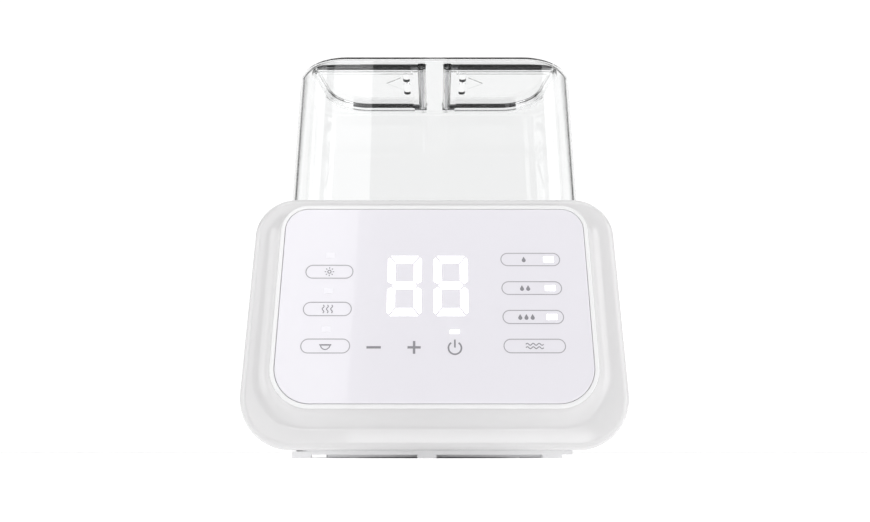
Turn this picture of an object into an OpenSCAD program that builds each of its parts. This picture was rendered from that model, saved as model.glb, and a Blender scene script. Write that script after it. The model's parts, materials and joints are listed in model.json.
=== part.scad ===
// Two-bottle steam sterilizer: a reclined base with a touch panel, a heated tub, a lift-out bottle rack
// and a clear lift-off hood with two hinged lids.
// X runs across the front, the front faces -Y, and Z = 0 is the surface that the feet stand on.

/* [Base] */
// Width of the base
base_w = 198; // [194:1:202]
// Height of the base's top edge
base_h = 141; // [140:1:142]
// Backward lean of the front face, in degrees
face_lean = 8; // [6:0.5:9]
// Y of the front face's plane at table level
face_y = -58.4; // [-60:0.1:-57]
// Rounding of the two upper corners, seen from the front
base_top_r = 21.5; // [18:0.5:24]
// Rounding of the two lower corners, seen from the front
base_low_r = 28; // [24:0.5:28]
// Rounding of the two rear edges, seen from above
base_rear_r = 24; // [18:1:24]
// Wall thickness of the housing
housing_wall = 2.5; // [2.2:0.1:2.8]
// Height of the housing's lower edge
housing_z = 3.8; // [3.6:0.1:4]

/* [Control panel] */
// Width of the glass
glass_w = 161; // [158:1:164]
// Height of the glass along the face
glass_h = 106.5; // [105:0.1:106.8]
// Distance from the table line of the face to the glass's lower edge
glass_v = 25.2; // [23:0.1:25.4]
// Thickness of the glass
glass_t = 2; // [1.6:0.1:2.4]
// How far the plinth stands out of the face
plinth_h = 8; // [7:0.5:8]
// Rim of the plinth round the glass
plinth_rim = 2.5; // [2:0.1:3]

/* [Tub] */
// Y of the bottles' axes, the tub's middle
well_y = 11; // [10.5:0.1:11.5]
// Inner half width of the tub
tub_half_w = 78; // [77:0.5:78.5]
// Inner half depth of the tub
tub_half_d = 33; // [33:0.1:33.5]
// Corner rounding of the tub, seen from above
tub_r = 30; // [28:1:32]
// Wall thickness of the tub
tub_wall = 2.2; // [1.8:0.1:2.4]
// Height of the tub floor's upper face
tub_floor = 29.5; // [29:0.1:30]
// Radius of the heating plate
heater_r = 29; // [28:0.5:30]

/* [Hood] */
// Height of the hood's top
hood_top = 236; // [232:1:240]
// Width of the hood at its lower edge
hood_w = 173.4; // [173:0.1:175]
// Depth of the hood
hood_d = 80; // [79.5:0.1:80.5]
// Draft of the hood's two ends, in degrees
hood_draft = 1.1; // [0.6:0.1:1.4]
// Rounding of the hood's shoulders, seen from the front
shoulder_r = 8; // [6:0.5:8]
// Corner rounding of the hood, seen from above
hood_r = 27; // [26:0.5:28]
// Wall thickness of the hood
hood_wall = 2; // [1.8:0.1:2.2]

/* [Lids] */
// X of the right-hand hinge
hinge_x = 8; // [8:0.1:9]
// Radius of a hinge barrel
barrel_r = 2.6; // [2.4:0.1:2.6]
// Radius of a hinge pin
pin_r = 1; // [0.9:0.05:1.1]
// Thickness of a lid
lid_t = 1.8; // [1.6:0.1:1.9]
// Width of a steam slot
slot_w = 4.2; // [3.5:0.1:4.5]

/* [Bottle rack] */
// Distance between the two bottles' axes
bottle_pitch = 79.2; // [78:0.1:80]
// Radius of a bottle well
well_r = 30.4; // [29:0.1:30.6]
// Height of the rack above its floor
rack_h = 78; // [60:1:80]

/* [Hidden] */
$fn = 64;
far = 300;

// The rear wall mirrors the plinth's foremost edge, so the origin is in the middle of the footprint.
rear_y = -(face_y + (glass_v - plinth_rim) * sin(face_lean) - plinth_h * cos(face_lean));
face_mid = glass_v + glass_h / 2;

// Heights in the deck: recess floor, tub flange and the hood's lower edge.
deck_z = 129;
gasket_t = 0.8;
flange_z = deck_z + gasket_t;
flange_t = 2;
hood_z = flange_z + flange_t + 0.3;
recess_gap = 1.3;
flange_gap = 0.5;
tub_screw = [74.4, 28.4];
tub_screw_r = 1.5;

// Bottom cover, its screws and what it stands on.
cover_z = 1.7;
cover_half_w = 70;
cover_y = [-53, 58.5];
open_half_w = 68;
open_y = [-50, 56.5];
cover_screw_r = 1.4;
cover_screw_at = [for (x = [-60, 60], y = [-47, 53]) [x, y]];
rubber_foot_at = [for (x = [-50, 50], y = [-36, 44]) [x, y]];
rubber_foot_r = 6;
front_tab_x = [-66, -3.7, 58.6];
front_tab_w = 9.5;
rib_half_w = 54;
rib_y = -46;
rib_z = 0.5;

// Touch keys and lamps: X, and height above the table where they show on the glass.
left_keys = [for (z = [95.2, 74.7, 55.1]) [-55.4, z]];
right_keys = [for (z = [102.1, 86.1, 70.4, 55.1]) [50.9, z]];
round_keys = [for (x = [-30.8, -10.3, 10.4]) [x, 54.4]];
keys = concat(left_keys, right_keys, round_keys);
left_lamps = [for (z = [104.6, 84.6, 64]) [-55.4, z]];
right_lamps = [for (z = [102.1, 86.1, 70.4]) [60.6, z]];
lamps = concat(left_lamps, right_lamps, [[10.4, 62.5]]);
digits_at = [-3.5, 87.5];
digits_size = [46, 38];

// Depths behind the face's plane, along its normal.
glass_w0 = plinth_h - glass_t;
ledge_t = 2.5;
ledge_w = 6;
board_t = 1.6;
board_w0 = -1;
board_screw_at = [for (x = [-77.3, 77.3], v = [-36, 36]) [x, face_mid + v]];
board_screw_r = 1.1;

// Heater stack under the tub.
bracket_z = 20.2;
bracket_t = 2;
bracket_screw_x = 34;
bracket_screw_r = 1.2;
pan_r = heater_r - 3.8;
ptc_r = 20;

// Power board, its posts and the mains inlet.
power_z = 7;
power_x = [26, 72];
power_y = [-20, 46];
power_screw_at = [for (x = [30, 64], y = [-17, 42]) [x, y]];
power_screw_r = 1.1;
inlet_at = [-40, 16];
inlet_size = [21, 13];
inlet_depth = 20;
socket_size = [16.4, 8.6];
socket_depth = 12;
pin_pitch = 8.6;
inlet_pin_r = 1.2;

// Lids and their openings in the hood.
hinge_z = hood_top - barrel_r;
lid_y = [-18.5, 36];
lid_far_x = [75, 68.5];
lid_radii = [0, 5, 27, 0];
arc_steps = 8;
lid_gap = 0.4;
collar_t = 1.2;
skirt_depth = 5;
skirt_in = 1;
ledge_depth = 5.4;
ledge_in = 2.4;
collar_depth = 6.6;
skirt_from_x = 13.5;
lid_zone_z = 200;
boss_y = [lid_y[0] - lid_gap - collar_t - 1, lid_y[1] + lid_gap + collar_t + 1];
slot_x = 18;
slot_spans = [[-9.5, 3.2], [4.8, 20.5]];

// Bottle rack.
rack_z = 33;
rack_wall = 1.8;
rack_floor_t = 2.2;
rack_foot_z = tub_floor + 0.3;
well_x = [-bottle_pitch / 2, bottle_pitch / 2];

// ---- Outlines with true round corners ----

function unit(v) = v / norm(v);
function around(list, i) = list[(i + len(list)) % len(list)];
function bisector(points, i) =
    unit(unit(around(points, i - 1) - points[i]) + unit(around(points, i + 1) - points[i]));
function half_angle(points, i) = acos(unit(around(points, i - 1) - points[i]) * bisector(points, i));
function grown(points, by) =
    [for (i = [0 : len(points) - 1]) points[i] - bisector(points, i) * by / sin(half_angle(points, i))];
function arc_centre(points, radii, i) =
    points[i] + bisector(points, i) * radii[i] / sin(half_angle(points, i));
function tangent(points, radii, i, step) =
    points[i] + unit(around(points, i + step) - points[i]) * radii[i] / tan(half_angle(points, i));

// A convex outline, anticlockwise, with one radius for each corner (0 for a sharp one), grown by a distance.
module outline(points, radii, grow = 0) {
    p = grown(points, grow);
    r = [for (radius = radii) radius > 0 ? radius + grow : 0];
    polygon([for (i = [0 : len(p) - 1]) each r[i] > 0
        ? [tangent(p, r, i, -1), arc_centre(p, r, i), tangent(p, r, i, 1)]
        : [p[i]]]);
    for (i = [0 : len(p) - 1])
        if (r[i] > 0)
            translate(arc_centre(p, r, i)) circle(r = r[i]);
}

function turn(from, to) = let (d = to - from) d > 180 ? d - 360 : d < -180 ? d + 360 : d;
function direction(v) = atan2(v[1], v[0]);

// The points of one rounded corner, in short straight steps.
function arc_points(points, radii, i) = let (
    centre = arc_centre(points, radii, i),
    from = direction(tangent(points, radii, i, -1) - centre),
    sweep = turn(from, direction(tangent(points, radii, i, 1) - centre))
) [for (k = [0 : arc_steps]) let (a = from + sweep * k / arc_steps) centre + radii[i] * [cos(a), sin(a)]];

module block_outline(half_w, y, radii, grow = 0) {
    outline([[-half_w, y[0]], [half_w, y[0]], [half_w, y[1]], [-half_w, y[1]]], radii, grow);
}

module stadium(size) {
    square([size[0] - size[1], size[1]], center = true);
    for (side = [-1, 1])
        translate([side * (size[0] - size[1]) / 2, 0]) circle(d = size[1]);
}

// ---- Placing ----

// An X-Z outline swept along Y.
module along_y(from, to) {
    translate([0, to, 0]) rotate([90, 0, 0]) linear_extrude(to - from) children();
}

// A Y-Z outline swept along X.
module along_x(from, to) {
    translate([from, 0, 0]) rotate([90, 0, 90]) linear_extrude(to - from) children();
}

// The front face's own plane: X across, Y up the slope, Z out of the face.
module on_face(out = 0) {
    translate([0, face_y, 0]) rotate([90 - face_lean, 0, 0]) translate([0, 0, out]) children();
}

// A place on the glass, given by X and height above the table, brought down to a depth on the face.
module at_glass(place, out) {
    on_face(out) translate([place[0], (place[1] - plinth_h * sin(face_lean)) / cos(face_lean), 0]) children();
}

module rod(from, to, r) {
    step = to - from;
    translate(from) rotate([0, acos(step[2] / norm(step)), atan2(step[1], step[0])])
        cylinder(h = norm(step), r = r, $fn = 24);
}

// The corners of a wire's section at one point of its route, square to the route there.
function section_at(route, i, section) = let (
    along = unit(route[min(i + 1, len(route) - 1)] - route[max(i - 1, 0)]),
    side = unit(cross(along, [0, 0, 1])),
    up = cross(side, along)
) [for (corner = section) route[i] + corner[0] * side + corner[1] * up];

// A solid swept along a route that is never upright, with the section given anticlockwise.
module swept(route, section) {
    n = len(section);
    last = len(route) - 1;
    polyhedron(
        points = [for (i = [0 : last]) each section_at(route, i, section)],
        faces = concat(
            [[for (k = [n - 1 : -1 : 0]) k], [for (k = [0 : n - 1]) last * n + k]],
            [for (i = [0 : last - 1], k = [0 : n - 1]) let (next = (k + 1) % n)
                [i * n + k, i * n + next, (i + 1) * n + next, (i + 1) * n + k]]
        )
    );
}

module wire(route, r) {
    swept(route, [for (a = [0 : 45 : 315]) r * [cos(a), sin(a)]]);
}

module screw(head_r, head_t, shank_r, length) {
    cylinder(h = length, r = shank_r);
    translate([0, 0, -head_t]) cylinder(h = head_t, r = head_r);
}

// ---- Base ----

module base_solid(inset = 0) {
    front_y = face_y + inset / cos(face_lean);
    slope = tan(face_lean);
    intersection() {
        along_y(-far, far)
            block_outline(base_w / 2, [housing_z, base_h], [base_low_r, base_low_r, base_top_r, base_top_r], -inset);
        along_x(-far, far)
            polygon([[front_y, 0], [rear_y - inset, 0], [rear_y - inset, far], [front_y + slope * far, far]]);
        linear_extrude(far)
            block_outline(base_w / 2, [-far, rear_y], [0, 0, base_rear_r, base_rear_r], -inset);
    }
}

module glass_outline(grow = 0) {
    block_outline(glass_w / 2, [glass_v, glass_v + glass_h], [19, 19, 12, 12], grow);
}

module hood_plan(grow = 0) {
    block_outline(hood_w / 2, [well_y - hood_d / 2, well_y + hood_d / 2], [for (i = [0 : 3]) hood_r], grow);
}

module tub_plan(grow = 0) {
    block_outline(tub_half_w, [well_y - tub_half_d, well_y + tub_half_d], [for (i = [0 : 3]) tub_r], grow);
}

module at_tub_screws() {
    for (x = [-1, 1], y = [-1, 1]) translate([x * tub_screw[0], well_y + y * tub_screw[1], 0]) children();
}

module housing_bosses() {
    intersection() {
        union() {
            for (at = cover_screw_at) translate([at[0], at[1], housing_z]) cylinder(h = 40, r = 4.2);
            for (x = [-60, 60]) translate([x - 1.2, 53, housing_z + 2]) cube([2.4, 12, 36]);
        }
        base_solid(1);
    }
}

module housing() {
    color("white") {
        difference() {
            union() {
                difference() {
                    base_solid();
                    difference() {
                        base_solid(housing_wall);
                        translate([0, 0, deck_z - housing_wall]) linear_extrude(far)
                            hood_plan(recess_gap + housing_wall);
                    }
                }
                on_face(-housing_wall) linear_extrude(plinth_h + housing_wall) glass_outline(plinth_rim);
                housing_bosses();
            }
            on_face(-housing_wall - 1) linear_extrude(housing_wall + 1 + glass_w0 - ledge_t) glass_outline();
            on_face(0) linear_extrude(far) glass_outline(-ledge_w);
            on_face(glass_w0) linear_extrude(far) glass_outline(0.1);
            translate([0, 0, deck_z]) linear_extrude(far) hood_plan(recess_gap);
            translate([0, 0, 100]) linear_extrude(far) tub_plan(tub_wall + 0.4);
            at_tub_screws() translate([0, 0, 120]) cylinder(h = 20, r = tub_screw_r + 0.2);
            difference() {
                translate([0, 0, -1]) linear_extrude(housing_z + housing_wall + 1.01)
                    block_outline(open_half_w, open_y, [6, 6, 6, 6]);
                for (at = cover_screw_at) translate([at[0], at[1], 0]) cylinder(h = 20, r = 4.2);
            }
            for (at = cover_screw_at) translate([at[0], at[1], 0]) cylinder(h = 18, r = cover_screw_r);
            translate([inlet_at[0], 0, inlet_at[1]]) along_y(rear_y - 10, rear_y + 10)
                square(inlet_size + [0.4, 0.4], center = true);
        }
        for (at = board_screw_at) on_face(board_w0) translate([at[0], at[1], 0]) difference() {
            cylinder(h = glass_w0 - ledge_t - board_w0 + 0.5, r = 2.8);
            translate([0, 0, -1]) cylinder(h = 5, r = board_screw_r);
        }
    }
}

module bottom_cover() {
    color("gainsboro")
    difference() {
        union() {
            translate([0, 0, cover_z]) linear_extrude(housing_z - cover_z)
                block_outline(cover_half_w, cover_y, [8, 8, 8, 8]);
            for (x = front_tab_x) translate([x - front_tab_w / 2, cover_y[0], 0])
                cube([front_tab_w, 6, housing_z - 0.5]);
            translate([-rib_half_w, rib_y, rib_z]) cube([2 * rib_half_w, 2, cover_z - rib_z + 0.5]);
            for (at = power_screw_at) translate([at[0], at[1], cover_z]) cylinder(h = power_z - cover_z, r = 3);
        }
        for (at = rubber_foot_at) translate([at[0], at[1], 0]) cylinder(h = cover_z + 0.7, r = rubber_foot_r);
        for (at = cover_screw_at) translate([at[0], at[1], 0]) {
            cylinder(h = 10, r = cover_screw_r + 0.2);
            cylinder(h = cover_z + 1.1, r = 3.2);
        }
        for (at = power_screw_at) translate([at[0], at[1], cover_z + 1]) cylinder(h = 10, r = power_screw_r);
        for (i = [-3 : 3]) translate([-30 + i * 5, -10, 0]) linear_extrude(10)
            rotate(90) stadium([34, 2.4]);
    }
}

module cover_screws() {
    color("silver")
    for (at = cover_screw_at) translate([at[0], at[1], cover_z + 1.1]) screw(2.8, 1, cover_screw_r, 12);
}

module rubber_feet() {
    color("lightgray")
    for (at = rubber_foot_at) translate([at[0], at[1], 0]) cylinder(h = cover_z + 0.7, r = rubber_foot_r);
}

// ---- Control panel ----

module control_panel() {
    color("lavender")
    on_face(glass_w0) linear_extrude(glass_t) glass_outline();
}

module light_guide() {
    color("whitesmoke")
    difference() {
        on_face(1.6) linear_extrude(glass_w0 - 1.7) glass_outline(-ledge_w - 0.4);
        at_glass(digits_at, 0) linear_extrude(far) square(digits_size + [0.6, 0.6], center = true);
        for (place = keys) at_glass(place, 0) cylinder(h = 20, r = 3.1);
        for (place = lamps) at_glass(place, 0) linear_extrude(20) square([5.6, 3], center = true);
    }
}

module digit_display() {
    color("dimgray")
    at_glass(digits_at, board_w0) linear_extrude(glass_w0 - board_w0 - 0.2) square(digits_size, center = true);
}

module indicator_leds() {
    color("white")
    for (place = lamps) at_glass(place, board_w0) linear_extrude(1.4) square([3.6, 2], center = true);
}

module touch_springs() {
    color("silver")
    for (place = keys) at_glass(place, board_w0) difference() {
        cylinder(h = glass_w0 - board_w0 - 0.1, r = 2.4);
        translate([0, 0, 1]) cylinder(h = 10, r = 1.7);
    }
}

module display_board() {
    color("seagreen")
    difference() {
        on_face(board_w0 - board_t) linear_extrude(board_t) glass_outline(-1.6);
        for (at = board_screw_at) on_face(-5) translate([at[0], at[1], 0]) cylinder(h = 10, r = board_screw_r);
    }
}

module display_board_screws() {
    color("silver")
    for (at = board_screw_at) on_face(board_w0 - board_t) translate([at[0], at[1], 0])
        screw(2.2, 1.4, board_screw_r, 5.4);
}

// ---- Tub and heater ----

module tub() {
    color("whitesmoke")
    difference() {
        union() {
            translate([0, 0, tub_floor - 2.5]) linear_extrude(flange_z + flange_t - tub_floor + 2.5)
                tub_plan(tub_wall);
            translate([0, 0, flange_z]) linear_extrude(flange_t) hood_plan(recess_gap - flange_gap);
            at_tub_screws() translate([0, 0, flange_z]) cylinder(h = flange_t + 3.5, r = 2.8);
            for (side = [-1, 1]) translate([side * bracket_screw_x, well_y, bracket_z + bracket_t])
                cylinder(h = tub_floor - 2 - bracket_z - bracket_t, r = 3.6);
        }
        translate([0, 0, tub_floor]) linear_extrude(far) tub_plan();
        translate([0, well_y, 0]) cylinder(h = 60, r = pan_r + 0.2);
        at_tub_screws() translate([0, 0, 120]) cylinder(h = 14.2, r = tub_screw_r);
        for (side = [-1, 1]) translate([side * bracket_screw_x, well_y, 0])
            cylinder(h = tub_floor - 1.2, r = bracket_screw_r);
    }
}

module tub_gasket() {
    color("silver")
    translate([0, 0, deck_z]) linear_extrude(gasket_t) difference() {
        tub_plan(tub_wall + 2.4);
        tub_plan(tub_wall + 0.5);
    }
}

module tub_screws() {
    color("silver")
    at_tub_screws() translate([0, 0, deck_z - housing_wall]) screw(2.6, 1.8, tub_screw_r, 7.4);
}

module heating_plate() {
    color("silver")
    translate([0, well_y, tub_floor + 0.6]) rotate_extrude()
        polygon([
            [0, -4], [pan_r, -4], [pan_r, 0], [heater_r, 0],
            [heater_r, 1], [pan_r - 1, 1], [pan_r - 1, -3], [0, -3]
        ]);
}

module plate_seal() {
    color("gray")
    translate([0, well_y, tub_floor]) difference() {
        cylinder(h = 0.6, r = heater_r - 0.2);
        translate([0, 0, -1]) cylinder(h = 3, r = pan_r + 0.3);
    }
}

module ptc_heater() {
    color("goldenrod")
    translate([0, well_y, bracket_z + bracket_t]) difference() {
        cylinder(h = tub_floor - 3.4 - bracket_z - bracket_t, r = ptc_r);
        translate([0, 0, -1]) cylinder(h = 20, r = 8);
    }
}

module temperature_sensor() {
    color("black")
    translate([0, well_y, bracket_z + bracket_t]) cylinder(h = 3.6, r = 3);
}

module heater_bracket() {
    color("silver")
    translate([0, well_y, bracket_z]) difference() {
        linear_extrude(bracket_t) stadium([2 * bracket_screw_x + 14, 14]);
        for (side = [-1, 1]) translate([side * bracket_screw_x, 0, -1]) cylinder(h = 5, r = bracket_screw_r + 0.2);
    }
}

module bracket_screws() {
    color("silver")
    for (side = [-1, 1]) translate([side * bracket_screw_x, well_y, bracket_z])
        screw(2.6, 1.6, bracket_screw_r, 7);
}

module thermostat() {
    color("saddlebrown")
    translate([0, well_y, bracket_z - 8]) {
        cylinder(h = 8, r = 8);
        for (side = [-1, 1]) translate([side * 5 - 2.5, -13, 1.5]) cube([5, 26, 0.8]);
    }
}

module thermal_fuse() {
    color("silver")
    rod([-6, well_y + ptc_r + 2, 24], [6, well_y + ptc_r + 2, 24], 2);
}

// ---- Power side ----

module power_board() {
    color("seagreen")
    difference() {
        translate([power_x[0], power_y[0], power_z])
            cube([power_x[1] - power_x[0], power_y[1] - power_y[0], board_t]);
        for (at = power_screw_at) translate([at[0], at[1], 0]) cylinder(h = 20, r = power_screw_r);
    }
}

module on_power_board(x, y) {
    translate([x, y, power_z + board_t]) children();
}

module transformer() {
    color("gold") on_power_board(46, -12) cube([20, 18, 12]);
    color("dimgray") on_power_board(49, -15) cube([14, 24, 10]);
}

module relay() {
    color("royalblue") on_power_board(46, 14) cube([18, 14, 11]);
}

module capacitor() {
    color("midnightblue") on_power_board(34, -5) cylinder(h = 11, r = 5);
}

module buzzer() {
    color("black") on_power_board(36, 32) difference() {
        cylinder(h = 8, r = 5.5);
        translate([0, 0, 6]) cylinder(h = 5, r = 1);
    }
}

module power_board_screws() {
    color("silver")
    for (at = power_screw_at) translate([at[0], at[1], power_z + board_t]) mirror([0, 0, 1])
        screw(2.2, 1.4, power_screw_r, 5);
}

module mains_inlet() {
    color("dimgray")
    translate([inlet_at[0], 0, inlet_at[1]]) difference() {
        union() {
            along_y(rear_y - inlet_depth, rear_y) square(inlet_size, center = true);
            along_y(rear_y - housing_wall - 2, rear_y - housing_wall)
                square(inlet_size + [6, 2.4], center = true);
        }
        along_y(rear_y - socket_depth, rear_y + 1) stadium(socket_size);
        for (side = [-1, 1]) translate([side * pin_pitch / 2, 0, 0])
            along_y(rear_y - inlet_depth - 1, rear_y) circle(r = inlet_pin_r);
    }
}

module inlet_pins() {
    color("gold")
    for (side = [-1, 1]) translate([inlet_at[0] + side * pin_pitch / 2, 0, inlet_at[1]])
        along_y(rear_y - inlet_depth - 2, rear_y - 2) circle(r = inlet_pin_r);
}

module mains_wires() {
    start_y = rear_y - inlet_depth - 2.1;
    color("saddlebrown")
    for (side = [-1, 1]) wire([
        [inlet_at[0] + side * pin_pitch / 2, start_y, inlet_at[1]],
        [inlet_at[0] + side * pin_pitch / 2, start_y - 4 + side * 3, inlet_at[1]],
        [-20, 34 + side * 3, 12],
        [20, 34 + side * 3, 12],
        [28, 34 + side * 3, power_z + board_t + 1.2]
    ], 1.1);
}

module heater_wires() {
    color("red")
    for (side = [-1, 1]) wire([
        [side * 5, well_y + 13, 14.1],
        [side * 5, well_y + 17 - side * 2, 14],
        [18, 26 - side * 2, 14],
        [29, 24 - side * 2, power_z + board_t + 1.2]
    ], 1);
}

module display_cable() {
    color("lightgray")
    swept([[43, -50, 34], [43, -45, 28], [43, -30, 14], [43, -19, power_z + board_t + 0.6]],
        [[-3.5, -0.5], [3.5, -0.5], [3.5, 0.5], [-3.5, 0.5]]);
}

// ---- Hood ----

module hood_profile(inset) {
    low = hood_z - 20;
    top_half = hood_w / 2 - (hood_top - hood_z) * tan(hood_draft);
    low_half = hood_w / 2 + 20 * tan(hood_draft);
    outline([[-low_half, low], [low_half, low], [top_half, hood_top], [-top_half, hood_top]],
        [0, 0, shoulder_r, shoulder_r], -inset);
}

module hood_solid(inset) {
    intersection() {
        along_y(-far, far) hood_profile(inset);
        linear_extrude(far) hood_plan(-inset);
    }
}

// The lid as seen from above, from a given X outward.
module lid_plan(grow = 0, from_x = hinge_x - barrel_r) {
    corners = [
        [from_x + grow, lid_y[0]], [lid_far_x[0], lid_y[0]], [lid_far_x[1], lid_y[1]], [from_x + grow, lid_y[1]]
    ];
    p = grown(corners, grow);
    r = [for (radius = lid_radii) radius > 0 ? radius + grow : 0];
    polygon([for (i = [0 : 3]) each r[i] > 0 ? arc_points(p, r, i) : [p[i]]]);
}

// A column over an outline, cut off above a given depth under the hood's surface.
module under_hood(depth, from_z = lid_zone_z) {
    intersection() {
        along_y(-100, 100) hood_profile(depth);
        translate([0, 0, from_z]) linear_extrude(far) children();
    }
}

module hinge_line(from, to, r) {
    translate([hinge_x, 0, hinge_z]) along_y(from, to) circle(r = r, $fn = 48);
}

// Collar, ledge and hinge bosses of one lid opening.
module lid_frame() {
    difference() {
        under_hood(1) lid_plan(lid_gap + collar_t);
        along_y(-far, far) hood_profile(collar_depth);
    }
    hinge_line(boss_y[0], lid_y[0] - lid_gap, 2.2);
    hinge_line(lid_y[1] + lid_gap, boss_y[1], 2.2);
}

module lid_hole() {
    difference() {
        translate([0, 0, lid_zone_z]) linear_extrude(far) lid_plan(lid_gap);
        along_y(-far, far) hood_profile(ledge_depth);
    }
    translate([0, 0, lid_zone_z]) linear_extrude(far) {
        lid_plan(-ledge_in);
        translate([hinge_x - barrel_r - lid_gap, lid_y[0] - lid_gap])
            square([skirt_from_x - hinge_x + barrel_r + lid_gap, lid_y[1] - lid_y[0] + 2 * lid_gap]);
    }
    hinge_line(boss_y[0] - 1, boss_y[1] + 1, pin_r);
}

module hood() {
    color("lightcyan", 0.4)
    difference() {
        union() {
            difference() {
                hood_solid(0);
                hood_solid(hood_wall);
            }
            for (side = [0, 1]) mirror([side, 0, 0]) lid_frame();
        }
        translate([-far, -far, 0]) cube([2 * far, 2 * far, hood_z]);
        for (side = [0, 1]) mirror([side, 0, 0]) lid_hole();
    }
}

module hinge_pins() {
    color("silver")
    for (side = [0, 1]) mirror([side, 0, 0]) hinge_line(boss_y[0], boss_y[1], pin_r);
}

module lid() {
    difference() {
        union() {
            difference() {
                under_hood(0) lid_plan(0, hinge_x);
                along_y(-far, far) hood_profile(lid_t);
            }
            difference() {
                under_hood(1) lid_plan(-skirt_in, skirt_from_x + skirt_in);
                along_y(-far, far) hood_profile(skirt_depth);
                translate([0, 0, lid_zone_z - 10]) linear_extrude(far) lid_plan(-skirt_in - collar_t, 0);
            }
            hinge_line(lid_y[0], lid_y[1], barrel_r);
        }
        hinge_line(-100, 100, pin_r + 0.06);
        for (span = slot_spans)
            translate([slot_x, (span[0] + span[1]) / 2, hood_top - 10]) linear_extrude(20)
                rotate(90) stadium([span[1] - span[0], slot_w]);
    }
}

module lid_left() {
    color("lightcyan", 0.4) mirror([1, 0, 0]) lid();
}

module lid_right() {
    color("lightcyan", 0.4) lid();
}

// ---- Bottle rack ----

module bottle_rack() {
    color("white")
    difference() {
        union() {
            for (x = well_x) translate([x, well_y, rack_z]) cylinder(h = rack_h, r = well_r + rack_wall);
            translate([-20, well_y - 15, rack_z]) cube([40, 30, rack_floor_t]);
            translate([-1.5, well_y - 15, rack_z]) cube([3, 30, rack_h]);
            translate([-10, well_y - 1.5, rack_z]) cube([20, 3, rack_h - 26]);
            for (x = well_x, y = [-24, 24])
                translate([x, well_y + y, rack_foot_z]) cylinder(h = 4, r = 3);
        }
        for (x = well_x) translate([x, well_y, rack_z]) {
            translate([0, 0, rack_floor_t]) cylinder(h = rack_h, r = well_r);
            for (a = [0 : 60 : 300]) rotate(a) translate([18, 0, -1]) cylinder(h = 10, r = 4.5);
            translate([0, 0, -1]) cylinder(h = 10, r = 6);
            for (a = [60, 120, 240, 300]) rotate(a) translate([20, -5, 14]) cube([20, 10, rack_h - 30]);
        }
        translate([-5, well_y - 11, rack_z + rack_h - 19]) cube([10, 22, 12]);
    }
}

housing();
control_panel();
light_guide();
digit_display();
indicator_leds();
touch_springs();
display_board();
display_board_screws();
tub();
tub_gasket();
tub_screws();
heating_plate();
plate_seal();
ptc_heater();
temperature_sensor();
heater_bracket();
bracket_screws();
thermostat();
thermal_fuse();
power_board();
transformer();
relay();
capacitor();
buzzer();
power_board_screws();
mains_inlet();
inlet_pins();
mains_wires();
heater_wires();
display_cable();
bottom_cover();
cover_screws();
rubber_feet();
hood();
hinge_pins();
lid_left();
lid_right();
bottle_rack();
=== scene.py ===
"""Bottle sterilizer: smooth shells, clear hood, printed panel and studio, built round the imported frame."""

import json
import math

import bpy
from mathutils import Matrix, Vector


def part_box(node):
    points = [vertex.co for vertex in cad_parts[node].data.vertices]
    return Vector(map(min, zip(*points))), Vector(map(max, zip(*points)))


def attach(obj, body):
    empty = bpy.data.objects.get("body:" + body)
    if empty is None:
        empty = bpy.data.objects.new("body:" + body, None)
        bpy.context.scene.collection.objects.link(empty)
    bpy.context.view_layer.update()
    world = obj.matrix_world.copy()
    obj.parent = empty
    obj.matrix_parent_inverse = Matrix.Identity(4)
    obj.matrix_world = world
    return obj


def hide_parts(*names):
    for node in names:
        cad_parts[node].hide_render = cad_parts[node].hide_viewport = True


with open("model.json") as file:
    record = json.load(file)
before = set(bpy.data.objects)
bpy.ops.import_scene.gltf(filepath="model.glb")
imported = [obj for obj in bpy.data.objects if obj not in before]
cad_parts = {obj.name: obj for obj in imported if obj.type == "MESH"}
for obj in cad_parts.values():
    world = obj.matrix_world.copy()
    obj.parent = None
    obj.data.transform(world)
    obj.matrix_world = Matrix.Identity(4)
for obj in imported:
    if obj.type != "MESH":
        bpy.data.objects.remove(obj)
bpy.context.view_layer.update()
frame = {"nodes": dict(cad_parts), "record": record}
MM = 0.001


# ---- Sizes, in millimetres, from the frame ----

def span(node):
    low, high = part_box(node)
    return [v / MM for v in low], [v / MM for v in high]


BASE_LOW, BASE_HIGH = span("housing")
HOOD_LOW, HOOD_HIGH = span("hood")
LID_LOW, LID_HIGH = span("lid_right")
_, GLASS_HIGH = span("control_panel")
INLET_LOW, INLET_HIGH = span("mains_inlet")

LEAN = math.radians(8)
FACE_Y = -58.4
WALL = 2.5
BASE_HALF = BASE_HIGH[0]
REAR_Y = BASE_HIGH[1]
BASE_Z = (BASE_LOW[2], BASE_HIGH[2])
BASE_RADII = (28, 28, 21.5, 21.5)
REAR_R = 24
EDGE_R = 3.5
REAR_EDGE_R = 3

GLASS_HALF = GLASS_HIGH[0]
GLASS_V = (25.2, 131.7)
GLASS_RADII = (19, 19, 12, 12)
GLASS_T = 2
GLASS_EDGE_R = 0.5
PLINTH_H = 8
PLINTH_RIM = 2.5
RIM_EDGE_R = 0.7
RIM_TOP_DEPTH = 0.2
LEDGE_IN = 6
COVE = {"side": 10, "low": 9, "top": 2.0}
COVE_RADII_GROW = (7, 7, 5, 5)

# The gap round the glass, as steps outside the glass's edge and below the plinth's top.
GLASS_GAP_STEPS = ((0.55, 0), (0.45, 0), (0.3, 0.05), (0.2, 0.25), (0.2, GLASS_T))

# A narrow band of flat round each flat face, so that its shading stays flat.
FLAT_LOOP = 0.3
FLAT_BAND = 0.1

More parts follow.
